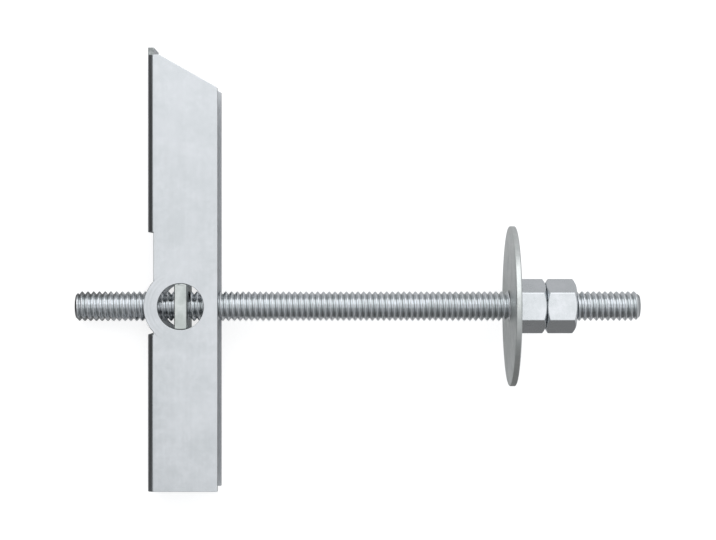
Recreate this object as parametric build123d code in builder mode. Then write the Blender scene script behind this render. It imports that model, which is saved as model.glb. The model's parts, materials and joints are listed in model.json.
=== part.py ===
from build123d import *

import os
from math import asin, atan2, ceil, cos, hypot, radians, sin, sqrt, tan

# Gravity toggle bolt, lying on a table as it comes to rest. Sizes are in millimetres.
# Stations are distances along the rod from the pivot, positive towards the free end.
# The table is z = 0, and the origin is under the middle of the whole bolt.

# Threaded rod
rod_diameter = 10.0
rod_length = 190.0
tail_length = 36.0
tail_chamfer = 1.1
free_end_chamfer = 1.4
thread_pitch = 1.94
thread_depth = 0.95
crest_width = 0.27
root_width = 0.16

# Toggle channel, folded from one strip
sheet = 2.0
bend_inside_radius = 0.3
channel_depth = 18.0
web_to_pivot = 11.0
pivot_to_free_edge = 12.3
long_arm = 86.5
short_arm = 61.6
tongue_length = 2.6
shoulder_width = 1.8
bevel_angle = 29.5
pivot_hole_diameter = 15.5
ear_radius = 12.3
slot_to_nose = 24.8
slot_to_square_end = 9.25

# Pivot plate, which turns in the two pivot holes
plate_thickness = 4.2
plate_edge_chamfer = 0.2

# Washer
washer_diameter = 54.0
washer_thickness = 2.0
washer_hole_diameter = 11.0
washer_edge_radius = 0.4
washer_station = 110.05

# Hexagon nuts
nut_width = 16.0
nut_height = 10.15
nut_face_diameter = 15.2
nut_chamfer_angle = 30.0
countersink_diameter = 10.9

# Clearances
thread_clearance = 0.05
pivot_clearance = 0.10
cutter_margin = 1.0

# Sizes that follow from the ones above
rod_radius = rod_diameter / 2
thread_bore_radius = rod_radius + thread_clearance
flange_height = channel_depth / 2
bend_outside_radius = sheet + bend_inside_radius
plate_radius = pivot_hole_diameter / 2 - pivot_clearance
web_inner_face = -web_to_pivot + sheet
washer_radius = washer_diameter / 2
clamp_nut_station = washer_station + washer_thickness
lock_nut_station = clamp_nut_station + nut_height
spare_turns = 2
thread_turns = ceil(rod_length / thread_pitch) + 2 * spare_turns

# Resting pose: the ears and the washer's rim touch the table, so the rod rises towards its free end.
rise_run = washer_station + washer_edge_radius + ear_radius
rise_height = washer_radius - washer_edge_radius - flange_height
rest_lean = atan2(rise_height, rise_run) + asin(washer_edge_radius / hypot(rise_height, rise_run))
pivot_height = ear_radius * sin(rest_lean) + flange_height * cos(rest_lean)

# The origin is under the middle of the box around the whole bolt.
tail_reach = tail_length * cos(rest_lean) + (rod_radius - tail_chamfer) * sin(rest_lean)
free_end_station = rod_length - tail_length
free_end_reach = free_end_station * cos(rest_lean) + (rod_radius - free_end_chamfer) * sin(rest_lean)
pivot_x = (tail_reach - free_end_reach) / 2
pivot_y = (short_arm - long_arm) / 2

pivot_point = Vector(pivot_x, pivot_y, pivot_height)
rod_direction = Vector(cos(rest_lean), 0, sin(rest_lean))
bar_direction = Vector(0, 1, 0)
pivot_direction = rod_direction.cross(bar_direction)


def across_rod(station):
    """Plane square to the rod: local x along the bar, local y along the pivot axis."""
    return Plane(pivot_point + rod_direction * station, x_dir=bar_direction, z_dir=rod_direction)


def along_rod():
    """Plane through the rod's axis: local x along the rod, local y along the pivot axis."""
    return Plane(pivot_point, x_dir=rod_direction, z_dir=-bar_direction)


def across_bar(distance):
    """Plane square to the bar: local x along the pivot axis, local y along the rod."""
    return Plane(pivot_point + bar_direction * distance, x_dir=pivot_direction, z_dir=bar_direction)


def across_pivot(height):
    """Plane square to the pivot axis: local x along the rod, local y along the bar."""
    return Plane(pivot_point + pivot_direction * height, x_dir=rod_direction, z_dir=pivot_direction)


def thread_line(station, radius):
    """One turn of a right-hand helix round the rod, which starts on the side of the bar's nose."""
    turn = Edge.make_helix(thread_pitch, thread_pitch, radius)
    return across_rod(station).from_local_coords(turn).edge()


def make_thread(start, turns):
    """A bar with a thread from end to end: each turn has its crest, flank, root and other flank."""
    half_pitch = thread_pitch / 2
    root_radius = rod_radius - thread_depth
    outline = [
        (-crest_width / 2, rod_radius),
        (crest_width / 2, rod_radius),
        (half_pitch - root_width / 2, root_radius),
        (half_pitch + root_width / 2, root_radius),
        (thread_pitch - crest_width / 2, rod_radius),
    ]
    faces = []
    for turn in range(turns):
        lines = [thread_line(start + turn * thread_pitch + x, radius) for x, radius in outline]
        faces += [Face.make_surface_from_curves(line, following) for line, following in zip(lines, lines[1:])]
    for end in (start, start + turns * thread_pitch):
        low, high = (end + x for x in (-crest_width / 2, thread_pitch - crest_width / 2))
        axis_line = Edge.make_line(pivot_point + rod_direction * low, pivot_point + rod_direction * high)
        faces.append(Face.make_surface_from_curves(thread_line(low, rod_radius), axis_line))
        corners = [(low, 0), *((end + x, radius) for x, radius in outline), (high, 0)]
        places = [pivot_point + rod_direction * x + bar_direction * radius for x, radius in corners]
        faces.append(Face(Wire.make_polygon(places, close=True)))
    return Solid(Shell(faces))


def make_nut(station):
    """One hexagon nut, with a flat towards the pivot direction and both ends coned off at the corners."""
    cone_reach = nut_width / sqrt(3) + cutter_margin
    cone_drop = (cone_reach - nut_face_diameter / 2) * tan(radians(nut_chamfer_angle))
    countersink = countersink_diameter / 2 - thread_bore_radius
    with BuildPart() as nut:
        with BuildSketch(across_rod(station)):
            RegularPolygon(nut_width / 2, 6, major_radius=False)
        extrude(amount=nut_height)
        with BuildSketch(along_rod()):
            with BuildLine():
                Polyline(
                    (station, 0),
                    (station, nut_face_diameter / 2),
                    (station + cone_drop, cone_reach),
                    (station + nut_height - cone_drop, cone_reach),
                    (station + nut_height, nut_face_diameter / 2),
                    (station + nut_height, 0),
                    close=True,
                )
            make_face()
        revolve(axis=Axis(pivot_point, rod_direction), mode=Mode.INTERSECT)
        with Locations(across_rod(station + nut_height)):
            Hole(radius=thread_bore_radius)
        bore_mouths = nut.edges().filter_by(GeomType.CIRCLE).sort_by(SortBy.RADIUS)[:2]
        chamfer(bore_mouths, length=countersink)
    return nut.part


# Threaded rod: a thread longer than the rod, trimmed to the rod's flat ends and their chamfers.
with BuildPart() as threaded_rod:
    add(make_thread(-tail_length - spare_turns * thread_pitch, thread_turns))
    with BuildSketch(along_rod()):
        with BuildLine():
            Polyline(
                (-tail_length, 0),
                (-tail_length, rod_radius - tail_chamfer),
                (tail_chamfer + cutter_margin - tail_length, rod_radius + cutter_margin),
                (free_end_station - free_end_chamfer - cutter_margin, rod_radius + cutter_margin),
                (free_end_station, rod_radius - free_end_chamfer),
                (free_end_station, 0),
                close=True,
            )
        make_face()
    revolve(axis=Axis(pivot_point, rod_direction), mode=Mode.INTERSECT)

# Toggle channel: a U of sheet, open towards the washer.
with BuildPart() as toggle_channel:
    with BuildSketch(across_bar(-short_arm)):
        with BuildLine():
            outer = FilletPolyline(
                (flange_height, pivot_to_free_edge),
                (flange_height, -web_to_pivot),
                (-flange_height, -web_to_pivot),
                (-flange_height, pivot_to_free_edge),
                radius=bend_outside_radius,
            )
            inner = FilletPolyline(
                (flange_height - sheet, pivot_to_free_edge),
                (flange_height - sheet, web_inner_face),
                (sheet - flange_height, web_inner_face),
                (sheet - flange_height, pivot_to_free_edge),
                radius=bend_inside_radius,
            )
            Line(outer @ 0, inner @ 0)
            Line(outer @ 1, inner @ 1)
        make_face()
    extrude(amount=short_arm + long_arm)

    # Bevelled nose: both flanges slope back from the web, which stands past them as a tongue.
    flange_end = long_arm - tongue_length
    shoulder_end = web_inner_face + shoulder_width
    bevel_run = pivot_to_free_edge + cutter_margin - shoulder_end
    with BuildSketch(across_pivot(-flange_height - cutter_margin)):
        with BuildLine():
            Polyline(
                (web_inner_face, long_arm + cutter_margin),
                (web_inner_face, flange_end),
                (shoulder_end, flange_end),
                (shoulder_end + bevel_run, flange_end - bevel_run * tan(radians(bevel_angle))),
                (shoulder_end + bevel_run, long_arm + cutter_margin),
                close=True,
            )
        make_face()
    extrude(amount=channel_depth + 2 * cutter_margin, mode=Mode.SUBTRACT)

    # The bends end with the flanges, so the tongue is as wide as the flat of the web.
    bend_gap = 2 * (flange_height - bend_outside_radius)
    with BuildSketch(across_bar(flange_end)):
        Rectangle(channel_depth + 2 * cutter_margin, 2 * (web_to_pivot + cutter_margin))
        Rectangle(bend_gap, 2 * (web_to_pivot + cutter_margin), mode=Mode.SUBTRACT)
    extrude(amount=tongue_length + cutter_margin, mode=Mode.SUBTRACT)

    # Slot through the web and its bends, which the rod's tail passes when the bar turns.
    slot_length = slot_to_nose + slot_to_square_end
    with BuildSketch(across_pivot(-flange_height - cutter_margin)):
        with Locations((web_inner_face, -slot_to_square_end)):
            Rectangle(sheet + cutter_margin, slot_length, align=(Align.MAX, Align.MIN))
    extrude(amount=channel_depth + 2 * cutter_margin, mode=Mode.SUBTRACT)

    # Ears: each flange stands out past the web around the pivot hole.
    for ear_base in (-flange_height, flange_height - sheet):
        with BuildSketch(across_pivot(ear_base)):
            Circle(ear_radius)
            Rectangle(2 * ear_radius, 2 * ear_radius, align=(Align.MIN, Align.CENTER), mode=Mode.SUBTRACT)
        extrude(amount=sheet)

    with Locations(across_pivot(flange_height)):
        Hole(radius=pivot_hole_diameter / 2)

# Pivot plate: a strip with round edges, as long as the channel is deep, held by the rod that runs through it.
with BuildPart() as pivot_plate:
    with BuildSketch(across_pivot(-flange_height)):
        Circle(plate_radius)
        Rectangle(plate_thickness, pivot_hole_diameter, mode=Mode.INTERSECT)
    extrude(amount=channel_depth)
    chamfer(pivot_plate.faces().filter_by(across_pivot(0)).edges(), length=plate_edge_chamfer)
    with Locations(across_rod(plate_thickness / 2)):
        Hole(radius=thread_bore_radius)

# Washer: large and flat, with rolled edges.
with BuildPart() as washer:
    with BuildSketch(across_rod(washer_station)):
        Circle(washer_radius)
        Circle(washer_hole_diameter / 2, mode=Mode.SUBTRACT)
    extrude(amount=washer_thickness)
    rim = washer.edges().filter_by(GeomType.CIRCLE).sort_by(SortBy.RADIUS)[-2:]
    fillet(rim, radius=washer_edge_radius)

clamp_nut = make_nut(clamp_nut_station)
lock_nut = make_nut(lock_nut_station)

os.makedirs("parts", exist_ok=True)

threaded_rod.part.label = "threaded_rod"
export_step(threaded_rod.part, "parts/threaded_rod.step")
toggle_channel.part.label = "toggle_channel"
export_step(toggle_channel.part, "parts/toggle_channel.step")
pivot_plate.part.label = "pivot_plate"
export_step(pivot_plate.part, "parts/pivot_plate.step")
washer.part.label = "washer"
export_step(washer.part, "parts/washer.step")
clamp_nut.label = "clamp_nut"
export_step(clamp_nut, "parts/clamp_nut.step")
lock_nut.label = "lock_nut"
export_step(lock_nut, "parts/lock_nut.step")
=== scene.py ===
"""Gravity toggle bolt: the finish of its zinc plated pieces, the table it lies on, the light and camera."""

import json
from math import cos, floor, pi, radians, sin

import bmesh
import bpy
from bpy.props import FloatProperty, FloatVectorProperty, IntProperty, PointerProperty
from bpy.types import Operator, Panel, PropertyGroup
from mathutils import Matrix, Vector


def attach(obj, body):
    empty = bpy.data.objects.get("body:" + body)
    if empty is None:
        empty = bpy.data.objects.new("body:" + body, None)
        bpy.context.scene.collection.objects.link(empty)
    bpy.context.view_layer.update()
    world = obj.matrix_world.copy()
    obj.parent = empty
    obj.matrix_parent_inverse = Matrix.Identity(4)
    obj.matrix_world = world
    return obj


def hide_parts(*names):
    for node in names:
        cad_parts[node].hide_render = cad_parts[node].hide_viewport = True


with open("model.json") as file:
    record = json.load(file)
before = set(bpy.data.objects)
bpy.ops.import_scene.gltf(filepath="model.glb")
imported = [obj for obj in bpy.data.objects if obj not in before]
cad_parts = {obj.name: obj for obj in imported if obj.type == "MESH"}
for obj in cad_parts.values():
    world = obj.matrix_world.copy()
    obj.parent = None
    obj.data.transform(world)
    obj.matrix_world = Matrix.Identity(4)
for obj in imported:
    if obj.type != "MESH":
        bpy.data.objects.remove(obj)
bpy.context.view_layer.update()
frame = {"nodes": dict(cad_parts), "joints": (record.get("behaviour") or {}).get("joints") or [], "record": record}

bl_info = {
    "name": "Gravity toggle bolt",
    "version": (1, 0, 0),
    "blender": (4, 5, 0),
    "location": "3D View > Sidebar > Toggle bolt",
    "description": "Dresses the solid model of a gravity toggle bolt in its threads, edges and zinc plating",
    "category": "Object",
}

MM = 0.001
WELD = 0.001 * MM

# The bolt's own directions, read from its joints: along the rod, along the bar and along the pivot axis.
# Own coordinates start at the pivot: x along the rod, y along the bar, z along the pivot axis.

joints = {joint["name"]: joint for joint in frame["joints"]}
pivot_point = Vector(joints["toggle_tilt"]["pos_m"])
pivot_direction = Vector(joints["toggle_tilt"]["axis"]).normalized()
rod_direction = Vector(joints["clamp_nut_travel"]["axis"]).normalized()
bar_direction = pivot_direction.cross(rod_direction)
own_turn = Matrix((rod_direction, bar_direction, pivot_direction)).transposed().to_4x4()
lying = Matrix.Translation(pivot_point) @ own_turn


def reach(node):
    """Lowest and highest corner of a node's mesh in the bolt's own coordinates."""
    own = [lying.inverted() @ vertex.co for vertex in frame["nodes"][node].data.vertices]
    return Vector(map(min, zip(*own))), Vector(map(max, zip(*own)))


rod_low, rod_high = reach("threaded_rod")
channel_high = reach("toggle_channel")[1]

BODY_OF = {node: body for body, nodes in frame["record"]["behaviour"]["bodies"].items() for node in nodes}


# Sizes and colours that a user would change


def length(name, description, default, low=0.0):
    """A length in metres."""
    return FloatProperty(
        name=name, description=description, default=default, min=low, unit="LENGTH", precision=5
    )


def share(name, description, default):
    """A number from 0 to 1."""
    return FloatProperty(
        name=name, description=description, default=default, min=0.0, max=1.0, subtype="FACTOR"
    )


def brightness(name, description, default):
    """How bright a lamp or a side of the room is."""
    return FloatProperty(name=name, description=description, default=default, min=0.0)


def colour(name, description, default):
    """A colour, as linear red, green and blue."""
    return FloatVectorProperty(
        name=name, description=description, default=default, size=3, min=0.0, max=1.0, subtype="COLOR"
    )


class ToggleRodSettings(PropertyGroup):
    """The rod and its rolled thread."""

    crest_radius: length("Crest radius", "From the rod's axis to the thread's crests", rod_high.z)
    pitch: length("Pitch", "Distance from one crest to the next", 1.94 * MM, 0.2 * MM)
    depth: length("Depth", "From crest to root", 0.95 * MM)
    crest_share: share("Crest share", "Part of each pitch that the flat crest takes", 0.16)
    root_share: share("Root share", "Part of each pitch that the flat root takes", 0.06)
    tail_chamfer: length("Tail chamfer", "Chamfer at the end inside the channel", 1.1 * MM)
    free_chamfer: length("Free end chamfer", "Chamfer at the end past the nuts", 1.4 * MM)
    sawn_radius: length("Sawn edge radius", "Rounding where the saw cut the ends", 0.12 * MM)
    steps_per_turn: IntProperty(name="Steps per turn", description="Facets in one turn", default=48, min=12)
    light: colour("Light zinc", "The plating where it is clean", (0.76, 0.78, 0.81))
    dark: colour("Dark zinc", "The plating where it is dull", (0.66, 0.69, 0.70))


class ToggleChannelSettings(PropertyGroup):
    """The folded toggle channel."""

    edge_radius: length("Edge radius", "Rounding of the sheet's cut edges", 0.14 * MM)
    rollover: length("Rollover", "Rounding that the shear leaves inside the flanges' free edges", 0.6 * MM)
    light: colour("Light zinc", "The sheet's plating where it is clean", (0.63, 0.65, 0.675))
    dark: colour("Dark zinc", "The sheet's plating where it is dull", (0.575, 0.60, 0.62))
    cut_light: colour("Light cut", "The lighter part of the sheared edges", (0.48, 0.50, 0.50))
    cut_dark: colour("Dark cut", "The torn part of the sheared edges", (0.27, 0.29, 0.29))


class TogglePlateSettings(PropertyGroup):
    """The plate that turns in the pivot holes."""

    edge_radius: length("Edge radius", "Rounding of the plate's edges", 0.12 * MM)
    light: colour("Light zinc", "The plating where it is clean", (0.66, 0.69, 0.68))
    dark: colour("Dark zinc", "The plating where it is dull", (0.54, 0.58, 0.56))


class ToggleWasherSettings(PropertyGroup):
    """The large flat washer."""

    light: colour("Light zinc", "The plating where it is clean", (0.78, 0.80, 0.79))
    dark: colour("Dark zinc", "The plating where it is dull", (0.64, 0.67, 0.66))


class ToggleNutSettings(PropertyGroup):
    """The clamping nut and the lock nut."""

    edge_radius: length("Edge radius", "Rounding of the edges between the flats", 0.18 * MM)
    light: colour("Light zinc", "The plating where it is clean", (0.76, 0.78, 0.81))
    dark: colour("Dark zinc", "The plating where it is dull", (0.69, 0.72, 0.74))


class ToggleStageSettings(PropertyGroup):
    """The table, the light and the camera."""

    lens: FloatProperty(
        name="Lens", description="Focal length", default=85.5, min=10.0, subtype="DISTANCE_CAMERA"
    )
    distance: length("Distance", "From the rod's plane to the camera", 574.3 * MM)
    aim_along_rod: length("Aim along the rod", "From the pivot to the point the camera looks at", 59.07 * MM)
    aim_along_bar: length("Aim along the bar", "From the rod to the point the camera looks at", 12.2 * MM)
    table: colour("Table", "The table's own colour", (0.50, 0.50, 0.505))
    glow: share("Glow", "White added where the camera sees the table near the bolt", 0.76)
    metal_glow: share("Glow in metal", "White added where the metal mirrors the table", 0.15)
    room: colour("Room", "Light that comes from all round", (0.50, 0.51, 0.52))
    nose_side: brightness("Nose side", "Brightness of the room on the nose's side", 1.3)
    square_side: brightness("Square side", "Brightness of the room on the square end's side", 0.85)
    tail_side: brightness("Tail side", "Brightness that is left of the room behind the tail", 0.7)
    key: brightness("Key lamp", "Brightness of the lamp on the nose's side", 0.85)
    top: brightness("Top lamp", "Brightness of the lamp straight above", 0.47)
    tail_board: share("Tail board", "Grey of the board far behind the tail", 0.07)
    tail_mat: share("Tail mat", "Grey of the mat beside the bar", 0.2)
    square_board: share("Square end board", "Grey of the board past the square end", 0.21)


# Shader nodes


def add_node(tree, kind, inputs=None, **settings):
    """Adds a node, sets it, and gives each input a value or joins it to another node's output."""
    node = tree.nodes.new(kind)
    for name, value in settings.items():
        setattr(node, name, value)
    for name, value in (inputs or {}).items():
        if isinstance(value, bpy.types.NodeSocket):
            tree.links.new(value, node.inputs[name])
        else:
            node.inputs[name].default_value = value
    return node


def calculate(tree, operation, first, second=0.5, third=0.5, clamp=False):
    """One step of arithmetic on values."""
    inputs = {0: first, 1: second, 2: third}
    return add_node(tree, "ShaderNodeMath", inputs, operation=operation, use_clamp=clamp).outputs[0]


def vector_step(tree, operation, first, second=(0.0, 0.0, 0.0)):
    """One step of arithmetic on vectors; a dot product and a length give a value."""
    node = add_node(tree, "ShaderNodeVectorMath", {0: first, 1: second}, operation=operation)
    return node.outputs["Value" if operation in ("DOT_PRODUCT", "LENGTH") else "Vector"]


def between(tree, value, low, high, low_result=0.0, high_result=1.0):
    """Goes smoothly from one result to the other as the value goes from low to high."""
    inputs = {"Value": value, 1: low, 2: high, 3: low_result, 4: high_result}
    return add_node(tree, "ShaderNodeMapRange", inputs, interpolation_type="SMOOTHSTEP").outputs[0]


def mix_colours(tree, factor, first, second):
    """Goes from the first colour to the second as the factor goes from 0 to 1."""
    return add_node(tree, "ShaderNodeMix", {0: factor, 6: first, 7: second}, data_type="RGBA").outputs[2]


def noise(tree, place, size, detail=2.0, roughness=0.5, distortion=0.0):
    """Cloudy noise whose features are about the given size."""
    scale = calculate(tree, "DIVIDE", 1.0, size)
    inputs = {
        "Vector": place, "Scale": scale, "Detail": detail, "Roughness": roughness, "Distortion": distortion
    }
    return add_node(tree, "ShaderNodeTexNoise", inputs).outputs[0]


def shade(tone, factor=1.0):
    """A colour made darker or lighter, with the opacity that a socket wants."""
    return (*[min(1.0, level * factor) for level in tone], 1.0)


def distance_from_line(tree, place, direction):
    """Distance from the line that runs through the pivot in a direction."""
    from_pivot = vector_step(tree, "SUBTRACT", place, pivot_point)
    return vector_step(tree, "LENGTH", vector_step(tree, "CROSS_PRODUCT", from_pivot, direction))


def new_group(name, inputs, outputs):
    """A shader node group. Inputs are (name, kind, default), and outputs are (name, kind)."""
    tree = bpy.data.node_groups.new(name, "ShaderNodeTree")
    for socket_name, kind, default in inputs:
        socket = tree.interface.new_socket(socket_name, in_out="INPUT", socket_type="NodeSocket" + kind)
        if default is not None:
            socket.default_value = default
    for socket_name, kind in outputs:
        tree.interface.new_socket(socket_name, in_out="OUTPUT", socket_type="NodeSocket" + kind)
    given = tree.nodes.new("NodeGroupInput").outputs
    result = tree.nodes.new("NodeGroupOutput").inputs
    return tree, given, result


def place_group(tree, group, inputs):
    """Places a node group in a material with its own values."""
    return add_node(tree, "ShaderNodeGroup", inputs, node_tree=group).outputs


def plating_group():
    """Zinc plating: clouds of lighter and duller metal with a fine grain, and their height and roughness."""
    if "Zinc plating" in bpy.data.node_groups:
        return bpy.data.node_groups["Zinc plating"]
    tree, given, result = new_group(
        "Zinc plating",
        [
            ("Place", "Vector", None),
            ("Light", "Color", (0.66, 0.68, 0.7, 1.0)),
            ("Dark", "Color", (0.55, 0.57, 0.58, 1.0)),
            ("Cloud size", "Float", 9 * MM),
            ("Grain size", "Float", 0.35 * MM),
            ("Grain", "Float", 0.3),
            ("Roughness", "Float", 0.34),
            ("Spread", "Float", 0.1),
        ],
        [("Colour", "Color"), ("Roughness", "Float"), ("Height", "Float")],
    )
    blotch_size = calculate(tree, "MULTIPLY", given["Cloud size"], 0.21)
    clouds = noise(tree, given["Place"], given["Cloud size"], 3.0, 0.55, 0.4)
    blotches = noise(tree, given["Place"], blotch_size, 3.0, 0.6)
    grain = noise(tree, given["Place"], given["Grain size"], 2.0, 0.6)
    # Two thirds of the tone comes from the clouds and one third from the blotches in them.
    soft = between(tree, clouds, 0.34, 0.66)
    spots = between(tree, blotches, 0.38, 0.7)
    cloudy = calculate(tree, "MULTIPLY_ADD", soft, 0.65, calculate(tree, "MULTIPLY", spots, 0.35))
    centred = calculate(tree, "SUBTRACT", grain, 0.5)
    grainy = calculate(tree, "MULTIPLY_ADD", centred, given["Grain"], cloudy, clamp=True)
    tree.links.new(mix_colours(tree, grainy, given["Dark"], given["Light"]), result["Colour"])
    # The duller metal is the rougher metal.
    duller = calculate(tree, "SUBTRACT", 0.5, grainy)
    rough = calculate(tree, "MULTIPLY_ADD", duller, given["Spread"], given["Roughness"], clamp=True)
    tree.links.new(rough, result["Roughness"])
    height = calculate(tree, "MULTIPLY_ADD", grain, 0.35, calculate(tree, "MULTIPLY", blotches, 0.65))
    tree.links.new(height, result["Height"])
    return tree


def rolling_group():
    """Fine straight lines that the mill or the draw die leaves in the metal."""
    if "Rolling lines" in bpy.data.node_groups:
        return bpy.data.node_groups["Rolling lines"]
    tree, given, result = new_group(
        "Rolling lines",
        [
            ("Place", "Vector", None),
            ("Stretch", "Vector", (1.0, 0.03, 1.0)),
            ("Line size", "Float", 0.4 * MM),
        ],
        [("Lines", "Float"), ("Height", "Float")],
    )
    stretched = vector_step(tree, "MULTIPLY", given["Place"], given["Stretch"])
    wide_size = calculate(tree, "MULTIPLY", given["Line size"], 6.0)
    fine = noise(tree, stretched, given["Line size"], 3.0, 0.65)
    wide = noise(tree, stretched, wide_size, 2.0, 0.5)
    both = calculate(tree, "MULTIPLY_ADD", fine, 0.55, calculate(tree, "MULTIPLY", wide, 0.45))
    tree.links.new(between(tree, both, 0.36, 0.64), result["Lines"])
    tree.links.new(both, result["Height"])
    return tree


def edge_wear_and_shade_group():
    """Finds the edges, where handling polishes the plating, and the inner corners, where painted shade darkens it.
    """
    if "Edge wear and painted shade" in bpy.data.node_groups:
        return bpy.data.node_groups["Edge wear and painted shade"]
    tree, given, result = new_group(
        "Edge wear and painted shade",
        [
            ("Place", "Vector", None),
            ("Width", "Float", 0.35 * MM),
            ("Hollow", "Float", 1.2 * MM),
            ("Breakup", "Float", 0.5),
        ],
        [("Edges", "Float"), ("Painted shade", "Float")],
    )
    # Near an edge, the rounded normal turns away from the true one.
    rounded = add_node(tree, "ShaderNodeBevel", {"Radius": given["Width"]}, samples=6).outputs[0]
    true_normal = add_node(tree, "ShaderNodeNewGeometry").outputs["Normal"]
    agreement = vector_step(tree, "DOT_PRODUCT", rounded, true_normal)
    edges = between(tree, agreement, 0.995, 0.86)
    patches = between(tree, noise(tree, given["Place"], 1.6 * MM, 3.0, 0.6), 0.35, 0.65)
    broken = calculate(tree, "SUBTRACT", 1.0, calculate(tree, "MULTIPLY", patches, given["Breakup"]))
    tree.links.new(calculate(tree, "MULTIPLY", edges, broken), result["Edges"])
    # Painted shade: the mask rises where ambient occlusion finds an inner corner or recess.
    reach_out = {"Distance": given["Hollow"]}
    openness = add_node(tree, "ShaderNodeAmbientOcclusion", reach_out, samples=8, only_local=True)
    tree.links.new(between(tree, openness.outputs["AO"], 0.75, 0.15), result["Painted shade"])
    return tree


# Tones of the marks on the plating: the polish and the painted highlight on thread crests are a share of the light
# zinc, and the others, including the painted shade in hollows and thread roots, are a share of the dark zinc

POLISH_AND_HIGHLIGHT_TONE = 1.18
LINE_TONE = 0.8
RING_TONE = 0.7
PAINTED_SHADE_TONE = 0.45
ROOT_SHADE_TONE = 0.4


def new_material(name):
    """A material and its empty node tree."""
    material = bpy.data.materials.new(name)
    material.use_nodes = True
    material.node_tree.nodes.clear()
    return material, material.node_tree


def press_rings(tree, place, gap, inner, outer):
    """Rings that the press leaves round the pivot hole, on the tail's side, between two radii."""
    radius = distance_from_line(tree, place, pivot_direction)
    wave = calculate(tree, "SINE", calculate(tree, "MULTIPLY", radius, 2 * pi / gap))
    past_hole = between(tree, radius, inner, inner + MM)
    inside_ear = between(tree, radius, outer + MM, outer)
    from_pivot = vector_step(tree, "SUBTRACT", place, pivot_point)
    towards_tail = vector_step(tree, "DOT_PRODUCT", from_pivot, -rod_direction)
    on_ear = calculate(tree, "MULTIPLY", past_hole, inside_ear)
    on_ear = calculate(tree, "MULTIPLY", on_ear, between(tree, towards_tail, 4 * MM, 9 * MM))
    return calculate(tree, "MULTIPLY", between(tree, wave, -1.0, 1.0), on_ear)


def zinc_material(
    name, light, dark, cloud=9 * MM, grain=0.3, roughness=0.32, spread=0.1, wear=0.5, wear_width=0.35 * MM,
    painted_shade=0.5, stretch=None, line_share=0.0, line_size=0.4 * MM, ring_share=0.0, rings=None, thread=None,
    bump=0.2,
):
    """A zinc plated finish: clouds and grain, polished edges and painted shade in the hollows, and what the tools
    leave.

    Stretch gives it rolling lines. Rings are (gap, inner radius, outer radius) round the pivot hole.
    Thread is (crest radius, depth), which paints a highlight on the crests and shade in the roots.
    """
    material, tree = new_material(name)
    place = add_node(tree, "ShaderNodeTexCoord").outputs["Object"]
    plating = place_group(tree, plating_group(), {
        "Place": place, "Light": shade(light), "Dark": shade(dark), "Cloud size": cloud, "Grain": grain,
        "Roughness": roughness, "Spread": spread,
    })
    wear_and_shade = place_group(tree, edge_wear_and_shade_group(), {"Place": place, "Width": wear_width})
    base = plating["Colour"]
    rough = plating["Roughness"]
    height = plating["Height"]
    # Lighter zinc for the polish that handling gives the edges, and for the painted highlight on the thread's
    # crests.
    polish_and_highlight = shade(light, POLISH_AND_HIGHLIGHT_TONE)

    if stretch:
        line_inputs = {"Place": place, "Stretch": stretch, "Line size": line_size}
        rolling = place_group(tree, rolling_group(), line_inputs)
        lines = calculate(tree, "MULTIPLY", rolling["Lines"], line_share)
        base = mix_colours(tree, lines, base, shade(dark, LINE_TONE))
        rough = calculate(tree, "MULTIPLY_ADD", lines, 0.15, rough)
        height = calculate(tree, "MULTIPLY_ADD", rolling["Height"], 2.0 * line_share, height)

    if rings:
        ring = calculate(tree, "MULTIPLY", press_rings(tree, place, *rings), ring_share)
        base = mix_colours(tree, ring, base, shade(dark, RING_TONE))
        height = calculate(tree, "MULTIPLY_ADD", ring, 3.0, height)

    # Painted shade darkens the hollows and makes them rougher.
    painted_shade_mask = calculate(tree, "MULTIPLY", wear_and_shade["Painted shade"], painted_shade)
    base = mix_colours(tree, calculate(tree, "MULTIPLY", wear_and_shade["Edges"], wear), base, polish_and_highlight)
    base = mix_colours(tree, painted_shade_mask, base, shade(dark, PAINTED_SHADE_TONE))
    rough = calculate(tree, "MULTIPLY_ADD", wear_and_shade["Edges"], -0.06, rough)
    rough = calculate(tree, "MULTIPLY_ADD", painted_shade_mask, 0.25, rough, clamp=True)

    if thread:
        # A painted highlight lightens the top eighth of the depth, and painted shade darkens the roots over the
        # last third.
        crest_radius, depth = thread
        radius = distance_from_line(tree, place, rod_direction)
        sunk = calculate(tree, "DIVIDE", calculate(tree, "SUBTRACT", crest_radius, radius), depth)
        base = mix_colours(tree, between(tree, sunk, 0.12, 0.0, 0.0, 0.7), base, polish_and_highlight)
        base = mix_colours(tree, between(tree, sunk, 0.7, 1.0, 0.0, 0.7), base, shade(dark, ROOT_SHADE_TONE))

    bumped = add_node(tree, "ShaderNodeBump", {"Strength": bump, "Distance": 0.02 * MM, "Height": height})
    shader = add_node(tree, "ShaderNodeBsdfPrincipled", {
        "Base Color": base, "Metallic": 1.0, "Roughness": rough, "Normal": bumped.outputs[0],
    })
    add_node(tree, "ShaderNodeOutputMaterial", {"Surface": shader.outputs[0]})
    return material


# Meshes


def put_in_scene(name, data):
    """A new object in the scene."""
    item = bpy.data.objects.new(name, data)
    bpy.context.scene.collection.objects.link(item)
    return item


def piece_from(name, edit):
    """A new piece from a bmesh in world coordinates."""
    mesh = bpy.data.meshes.new(name)
    edit.normal_update()
    edit.to_mesh(mesh)
    edit.free()
    return put_in_scene(name, mesh)


def finish_piece(piece, node, materials):
    """Gives a new piece its materials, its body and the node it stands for."""
    for material in materials:
        piece.data.materials.append(material)
    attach(piece, BODY_OF[node])
    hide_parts(node)


def even_normals(piece):
    """Shades broad faces flat and lets the narrow bands at their edges carry the curve."""
    modifier = piece.modifiers.new("Even normals", "WEIGHTED_NORMAL")
    modifier.mode = "FACE_AREA_WITH_ANGLE"
    modifier.weight = 60
    modifier.keep_sharp = False


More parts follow.
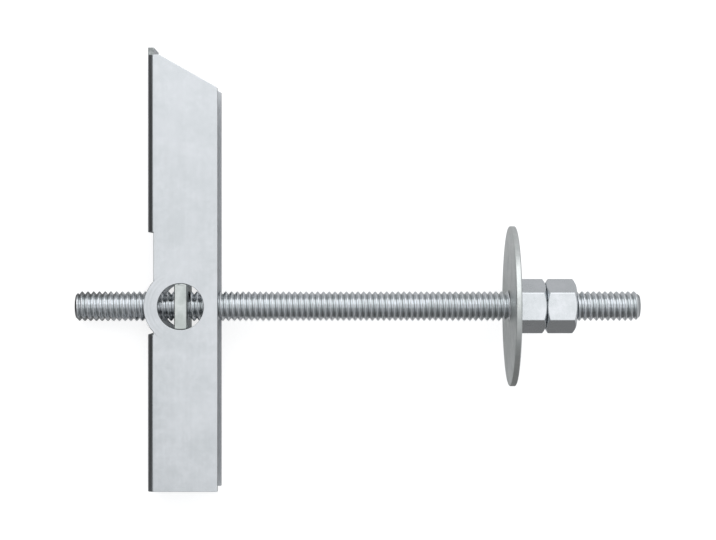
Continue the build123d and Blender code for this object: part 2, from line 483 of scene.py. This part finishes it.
def soften_node(node, radius=0.0, angle=40):
    """Rounds the edges of a solid that are sharper than an angle, without touching its own mesh."""
    solid = frame["nodes"][node]
    solid.modifiers.new("Weld", "WELD").merge_threshold = WELD
    if radius:
        rounding = solid.modifiers.new("Edge radius", "BEVEL")
        rounding.width = radius
        rounding.segments = 3
        rounding.limit_method = "ANGLE"
        rounding.angle_limit = radians(angle)
        rounding.use_clamp_overlap = False
    even_normals(solid)


def dress_node(node, material):
    """Gives a solid its material."""
    solid = frame["nodes"][node]
    solid.data.materials.clear()
    solid.data.materials.append(material)


def thread_profile(settings):
    """One pitch of the thread, from crest to crest, as parts of the pitch and of the depth."""
    crest = settings.crest_share / 2
    root = 0.5 - settings.root_share / 2
    middle_of_flank = (root * 0.5 + crest * 0.5, 0.5)
    # Two points soften each corner, at the crest and at the root.
    crest_corner = [(crest * 0.7, 0.02), (crest * 1.3, 0.10)]
    root_corner = [(root - 0.035, 0.93), (root + 0.01, 0.985)]
    half = [(0.0, 0.0), *crest_corner, middle_of_flank, *root_corner, (0.5, 1.0)]
    return half + [(1.0 - part, depth) for part, depth in reversed(half[1:-1])]


def build_threaded_rod(settings):
    """The rod's right-hand thread as one helical skin, cut off by a chamfer and a sawn face at each end."""
    profile = thread_profile(settings)
    steps = settings.steps_per_turn
    spare_turns = 2
    turns = floor((rod_high.x - rod_low.x) / settings.pitch) + 2 * spare_turns
    tail_radius = settings.crest_radius - settings.tail_chamfer
    free_radius = settings.crest_radius - settings.free_chamfer
    edit = bmesh.new()
    rows = []
    for step in range(turns * steps + 1):
        turn = step / steps - spare_turns
        angle = 2 * pi * step / steps
        row = []
        for part, depth in profile:
            x = min(max(rod_low.x + (turn + part) * settings.pitch, rod_low.x), rod_high.x)
            radius = settings.crest_radius - depth * settings.depth
            radius = min(radius, tail_radius + x - rod_low.x, free_radius + rod_high.x - x)
            row.append(edit.verts.new(lying @ Vector((x, radius * cos(angle), radius * sin(angle)))))
        rows.append(row)
    for step in range(len(rows) - 1):
        here, ahead = rows[step], rows[step + 1]
        for column in range(len(profile) - 1):
            edit.faces.new((here[column], here[column + 1], ahead[column + 1], ahead[column]))
        if step + 1 + steps < len(rows):
            edit.faces.new((here[-1], rows[step + steps][0], rows[step + 1 + steps][0], ahead[-1]))
    # Rows past the rod's ends have collapsed onto the end planes, and only their rims stay.
    bmesh.ops.remove_doubles(edit, verts=edit.verts, dist=WELD)
    bmesh.ops.dissolve_degenerate(edit, dist=WELD, edges=edit.edges)
    rims = [edge for edge in edit.edges if edge.is_boundary]
    ends = bmesh.ops.edgeloop_fill(edit, edges=rims)["faces"]
    for end in ends:
        end.material_index = 1
    bmesh.ops.bevel(
        edit, geom=[edge for end in ends for edge in end.edges], offset=settings.sawn_radius, segments=2,
        profile=0.5, affect="EDGES", material=1,
    )
    bmesh.ops.recalc_face_normals(edit, faces=edit.faces)
    for face in edit.faces:
        face.smooth = True
    return piece_from("rod_with_rolled_thread", edit)


# The channel's skins are told apart by their place in it and by the way they face

SHEET = 2.0 * MM
TOLERANCE = 0.1 * MM
WEB_FLAT = channel_high.z - SHEET - 0.2 * MM
WEB_INSIDE = channel_high.z - SHEET + 0.5 * MM
EAR_BULGE = 9.0 * MM
JOINED_ANGLE = radians(0.4)
EDGE_ANGLE = radians(28)


def facing_and_middle(face):
    """A face's normal and middle in the bolt's own coordinates."""
    return lying.to_3x3().inverted() @ face.normal, lying.inverted() @ face.calc_center_median()


def is_cut_face(face):
    """True where the press cut through the sheet, and False on the sheet's own two skins."""
    facing, middle = facing_and_middle(face)
    if abs(facing.z) > 0.5:
        return abs(middle.z) < WEB_FLAT
    square_to_rod = abs(facing.y) < 0.1
    on_web_outside = square_to_rod and facing.x < -0.5 and abs(middle.y) > EAR_BULGE
    on_web_inside = square_to_rod and facing.x > 0.5 and abs(middle.z) < WEB_INSIDE and middle.x < 0.0
    return not (on_web_outside or on_web_inside)


def is_inner_face(face):
    """True on the skin that faces into the channel."""
    facing, middle = facing_and_middle(face)
    return facing.x > 0.5 or facing.z * middle.z < -TOLERANCE


def is_rolled_over(edge):
    """True on the inner corners of the flanges' free edges, where the sheet was sheared from inside."""
    own = [lying.inverted() @ vertex.co for vertex in edge.verts]
    at_free_edge = all(point.x > channel_high.x - TOLERANCE for point in own)
    return at_free_edge and all(abs(point.z) < channel_high.z - SHEET / 2 for point in own)


def build_channel(settings):
    """The folded channel from the solid's own mesh, with its skins marked and every edge rounded."""
    edit = bmesh.new()
    edit.from_mesh(frame["nodes"]["toggle_channel"].data)
    bmesh.ops.remove_doubles(edit, verts=edit.verts, dist=WELD)
    bmesh.ops.dissolve_limit(edit, angle_limit=JOINED_ANGLE, verts=edit.verts, edges=edit.edges)
    for face in edit.faces:
        face.material_index = 1 if is_cut_face(face) else 2 if is_inner_face(face) else 0
        face.smooth = True
    weights = edit.edges.layers.float.new("bevel_weight_edge")
    for edge in edit.edges:
        if edge.calc_face_angle(0.0) > EDGE_ANGLE:
            edge[weights] = 1.0 if is_rolled_over(edge) else settings.edge_radius / settings.rollover
    channel = piece_from("folded_channel", edit)
    rounding = channel.modifiers.new("Edge radius", "BEVEL")
    rounding.width = settings.rollover
    rounding.segments = 4
    rounding.limit_method = "WEIGHT"
    rounding.use_clamp_overlap = False
    even_normals(channel)
    return channel


# The stage

# Boards that only the metal mirrors, from the table upwards. Each fold has two places, given along the rod
# and along the bar from the pivot, and a level above the table, in metres.

TAIL_BOARD = [
    ((-0.05, -0.08), (-0.05, 0.105), 0.0005),
    ((-0.25, -0.11), (-0.25, 0.14), 0.01),
    ((-0.70, -0.20), (-0.70, 0.23), 0.90),
]
TAIL_MAT = [
    ((-0.022, -0.08), (-0.022, 0.1), 0.0005),
    ((-0.05, -0.08), (-0.05, 0.105), 0.0005),
]
SQUARE_END_BOARD = [
    ((0.02, -0.035), (0.16, -0.035), 0.0005),
    ((0.01, -0.15), (0.19, -0.15), 0.02),
    ((-0.05, -0.50), (0.27, -0.50), 0.45),
]
LIT_POINT = (0.06, 0.0, 0.0)
TABLE_HALF_WIDTH = 6.0
TABLE_DROP = 0.01 * MM
WHITE = (1.0, 1.0, 1.0, 1.0)


def lay_table(settings):
    """A pale table that the camera sees as white, with the bolt's shadow on it."""
    half = TABLE_HALF_WIDTH
    corners = [(-half, -half), (half, -half), (half, half), (-half, half)]
    mesh = bpy.data.meshes.new("table")
    mesh.from_pydata([(x, y, -TABLE_DROP) for x, y in corners], [], [(0, 1, 2, 3)])
    material, tree = new_material("pale table")
    rays = add_node(tree, "ShaderNodeLightPath").outputs
    mirrored = calculate(tree, "MAXIMUM", rays["Is Glossy Ray"], rays["Is Transmission Ray"])
    place = add_node(tree, "ShaderNodeTexCoord").outputs["Object"]
    from_bolt = vector_step(tree, "LENGTH", place)
    # Near the bolt the glow leaves room for its shadow, and farther off the table is plain white.
    glow = between(tree, from_bolt, 0.1, 0.4, settings.glow, 1.0)
    seen = calculate(tree, "MULTIPLY", rays["Is Camera Ray"], glow)
    shader = add_node(tree, "ShaderNodeBsdfPrincipled", {
        "Base Color": shade(settings.table), "Roughness": 0.9, "Emission Color": WHITE,
        "Emission Strength": calculate(tree, "MULTIPLY_ADD", mirrored, settings.metal_glow, seen),
    })
    add_node(tree, "ShaderNodeOutputMaterial", {"Surface": shader.outputs[0]})
    mesh.materials.append(material)
    put_in_scene("table", mesh)


def fill_room(settings):
    """Soft light from all round, and plain white where the camera looks past the table."""
    world = bpy.data.worlds.new("room")
    bpy.context.scene.world = world
    world.use_nodes = True
    tree = world.node_tree
    tree.nodes.clear()
    direction = add_node(tree, "ShaderNodeTexCoord").outputs["Generated"]
    towards_nose = vector_step(tree, "DOT_PRODUCT", direction, bar_direction)
    towards_tail = vector_step(tree, "DOT_PRODUCT", direction, -rod_direction)
    across = between(tree, towards_nose, -0.7, 0.7, settings.square_side, settings.nose_side)
    past_tail = between(tree, towards_tail, 0.3, 0.7, 1.0, settings.tail_side)
    level = calculate(tree, "MULTIPLY", across, past_tail)
    soft = add_node(tree, "ShaderNodeBackground", {"Color": shade(settings.room), "Strength": level})
    white = add_node(tree, "ShaderNodeBackground", {"Color": WHITE, "Strength": 1.0})
    seen = add_node(tree, "ShaderNodeLightPath").outputs["Is Camera Ray"]
    both = add_node(tree, "ShaderNodeMixShader", {0: seen, 1: soft.outputs[0], 2: white.outputs[0]})
    add_node(tree, "ShaderNodeOutputWorld", {"Surface": both.outputs[0]})


def lean_board(name, grey, folds):
    """A board that leans outwards from the table, and that only the metal mirrors."""
    corners = []
    for start, end, level in folds:
        for along_rod, along_bar in (start, end):
            place = lying @ Vector((along_rod, along_bar, 0.0))
            corners.append(Vector((place.x, place.y, level)))
    strips = [(2 * fold, 2 * fold + 1, 2 * fold + 3, 2 * fold + 2) for fold in range(len(folds) - 1)]
    mesh = bpy.data.meshes.new(name)
    mesh.from_pydata(corners, [], strips)
    material, tree = new_material(name)
    shader = add_node(tree, "ShaderNodeEmission", {"Color": shade((grey, grey, grey)), "Strength": 1.0})
    add_node(tree, "ShaderNodeOutputMaterial", {"Surface": shader.outputs[0]})
    mesh.materials.append(material)
    board = put_in_scene(name, mesh)
    board.visible_camera = False
    board.visible_diffuse = False
    board.visible_shadow = False
    board.visible_transmission = False


def hang_lamp(name, level, place, size):
    """A soft lamp at a place in the bolt's own coordinates, turned to the middle of the rod."""
    data = bpy.data.lights.new(name, "AREA")
    data.shape = "RECTANGLE"
    data.size, data.size_y = size
    # An area lamp's brightness is its power over four times its area.
    data.energy = 4.0 * level * data.size * data.size_y
    lamp = put_in_scene(name, data)
    here = lying @ Vector(place)
    back = here - lying @ Vector(LIT_POINT)
    lamp.matrix_world = Matrix.Translation(here) @ back.to_track_quat("Z", "Y").to_matrix().to_4x4()
    lamp.visible_camera = False


def put_camera(settings):
    """The camera looks straight down on the plane through rod and bar, with the rod level in the picture."""
    data = bpy.data.cameras.new("camera")
    data.lens = settings.lens
    data.sensor_width = 36.0
    data.clip_start = 10 * MM
    camera = put_in_scene("camera", data)
    above = Vector((settings.aim_along_rod, settings.aim_along_bar, settings.distance))
    camera.matrix_world = lying @ Matrix.Translation(above)
    bpy.context.scene.camera = camera


# Operators


class TOGGLE_OT_threaded_rod(Operator):
    """Winds the rolled thread on the rod and plates it."""

    bl_idname = "toggle_bolt.threaded_rod"
    bl_label = "Threaded rod"

    def execute(self, context):
        settings = context.scene.toggle_rod
        plated = zinc_material(
            "zinc on rolled thread", settings.light, settings.dark, cloud=5 * MM, grain=0.15, roughness=0.2,
            spread=0.05, wear=0.2, wear_width=0.1 * MM, painted_shade=0.3, bump=0.05,
            thread=(settings.crest_radius, settings.depth),
        )
        sawn = zinc_material(
            "zinc on sawn end", settings.light, settings.dark, cloud=2 * MM, roughness=0.4, spread=0.16,
            stretch=(0.05, 1.0, 0.05), line_share=0.5, line_size=0.18 * MM, bump=0.5,
        )
        finish_piece(build_threaded_rod(settings), "threaded_rod", [plated, sawn])
        return {"FINISHED"}


class TOGGLE_OT_channel(Operator):
    """Rounds the channel's edges, plates the sheet and roughens the sheared cuts."""

    bl_idname = "toggle_bolt.channel"
    bl_label = "Folded channel"

    def execute(self, context):
        settings = context.scene.toggle_channel
        sheet = zinc_material(
            "zinc on rolled sheet", settings.light, settings.dark, cloud=11 * MM, grain=0.1, roughness=0.22,
            spread=0.04, wear=0.4, painted_shade=0.12, stretch=(1.0, 0.03, 1.0), line_share=0.09,
            line_size=0.5 * MM, ring_share=0.16, rings=(1.2 * MM, 8.6 * MM, 12.0 * MM), bump=0.04,
        )
        sheared = zinc_material(
            "zinc on sheared edge", settings.cut_light, settings.cut_dark, cloud=2.2 * MM, grain=0.6,
            roughness=0.42, spread=0.2, wear=0.6, painted_shade=0.3, stretch=(1.0, 1.0, 0.06), line_share=0.5,
            line_size=0.25 * MM, bump=0.6,
        )
        inside = zinc_material(
            "dull zinc inside the channel", settings.light, settings.dark, cloud=8 * MM, grain=0.2,
            roughness=0.45, spread=0.06, wear=0.4, painted_shade=0.12, stretch=(1.0, 0.03, 1.0), line_share=0.12,
            line_size=0.5 * MM, bump=0.08,
        )
        finish_piece(build_channel(settings), "toggle_channel", [sheet, sheared, inside])
        return {"FINISHED"}


class TOGGLE_OT_pivot_plate(Operator):
    """Rounds the pivot plate's edges and plates it."""

    bl_idname = "toggle_bolt.pivot_plate"
    bl_label = "Pivot plate"

    def execute(self, context):
        settings = context.scene.toggle_plate
        soften_node("pivot_plate", settings.edge_radius)
        dress_node("pivot_plate", zinc_material(
            "zinc on pivot plate", settings.light, settings.dark, cloud=5 * MM, spread=0.12,
            stretch=(1.0, 1.0, 0.05), line_share=0.2, line_size=0.3 * MM,
        ))
        return {"FINISHED"}


class TOGGLE_OT_washer(Operator):
    """Plates the washer."""

    bl_idname = "toggle_bolt.washer"
    bl_label = "Washer"

    def execute(self, context):
        settings = context.scene.toggle_washer
        soften_node("washer")
        dress_node("washer", zinc_material(
            "zinc on washer", settings.light, settings.dark, cloud=12 * MM, roughness=0.38, painted_shade=0.0,
            stretch=(1.0, 1.0, 0.04), line_share=0.2, line_size=0.5 * MM,
        ))
        return {"FINISHED"}


class TOGGLE_OT_nuts(Operator):
    """Rounds the edges of both nuts and plates them."""

    bl_idname = "toggle_bolt.nuts"
    bl_label = "Nuts"

    def execute(self, context):
        settings = context.scene.toggle_nuts
        plated = zinc_material(
            "zinc on nuts", settings.light, settings.dark, cloud=6 * MM, grain=0.2, roughness=0.24,
            spread=0.08, wear=0.6,
        )
        for node in ("clamp_nut", "lock_nut"):
            soften_node(node, settings.edge_radius, angle=35)
            dress_node(node, plated)
        return {"FINISHED"}


class TOGGLE_OT_stage(Operator):
    """Lays the table, hangs the lamps, leans the boards, and sets up the camera over the bolt."""

    bl_idname = "toggle_bolt.stage"
    bl_label = "Table, light and camera"

    def execute(self, context):
        settings = context.scene.toggle_stage
        lay_table(settings)
        fill_room(settings)
        hang_lamp("key lamp", settings.key, place=(0.06, 0.57, 0.59), size=(0.9, 0.7))
        hang_lamp("top lamp", settings.top, place=(0.06, 0.07, 0.9), size=(0.7, 0.7))
        lean_board("dark board at the tail", settings.tail_board, TAIL_BOARD)
        lean_board("grey mat at the tail", settings.tail_mat, TAIL_MAT)
        lean_board("grey board at the square end", settings.square_board, SQUARE_END_BOARD)
        put_camera(settings)
        context.scene.view_settings.view_transform = "Standard"
        return {"FINISHED"}


SETTINGS = {
    "toggle_rod": ToggleRodSettings,
    "toggle_channel": ToggleChannelSettings,
    "toggle_plate": TogglePlateSettings,
    "toggle_washer": ToggleWasherSettings,
    "toggle_nuts": ToggleNutSettings,
    "toggle_stage": ToggleStageSettings,
}
OPERATORS = [
    TOGGLE_OT_threaded_rod,
    TOGGLE_OT_channel,
    TOGGLE_OT_pivot_plate,
    TOGGLE_OT_washer,
    TOGGLE_OT_nuts,
    TOGGLE_OT_stage,
]


class TOGGLE_PT_panel(Panel):
    """Lists the sizes and colours, and builds each piece."""

    bl_label = "Gravity toggle bolt"
    bl_idname = "TOGGLE_PT_panel"
    bl_space_type = "VIEW_3D"
    bl_region_type = "UI"
    bl_category = "Toggle bolt"

    def draw(self, context):
        for settings_name, operator in zip(SETTINGS, OPERATORS):
            box = self.layout.box()
            box.operator(operator.bl_idname)
            settings = getattr(context.scene, settings_name)
            for prop in settings.bl_rna.properties:
                if prop.identifier not in ("rna_type", "name"):
                    box.prop(settings, prop.identifier)


CLASSES = [*SETTINGS.values(), *OPERATORS, TOGGLE_PT_panel]


def register():
    for item in CLASSES:
        bpy.utils.register_class(item)
    for name, group in SETTINGS.items():
        setattr(bpy.types.Scene, name, PointerProperty(type=group))


def unregister():
    for name in SETTINGS:
        delattr(bpy.types.Scene, name)
    for item in reversed(CLASSES):
        bpy.utils.unregister_class(item)


def main():
    register()
    bpy.ops.toggle_bolt.threaded_rod()
    bpy.ops.toggle_bolt.channel()
    bpy.ops.toggle_bolt.pivot_plate()
    bpy.ops.toggle_bolt.washer()
    bpy.ops.toggle_bolt.nuts()
    bpy.ops.toggle_bolt.stage()


if __name__ == "__main__":
    main()
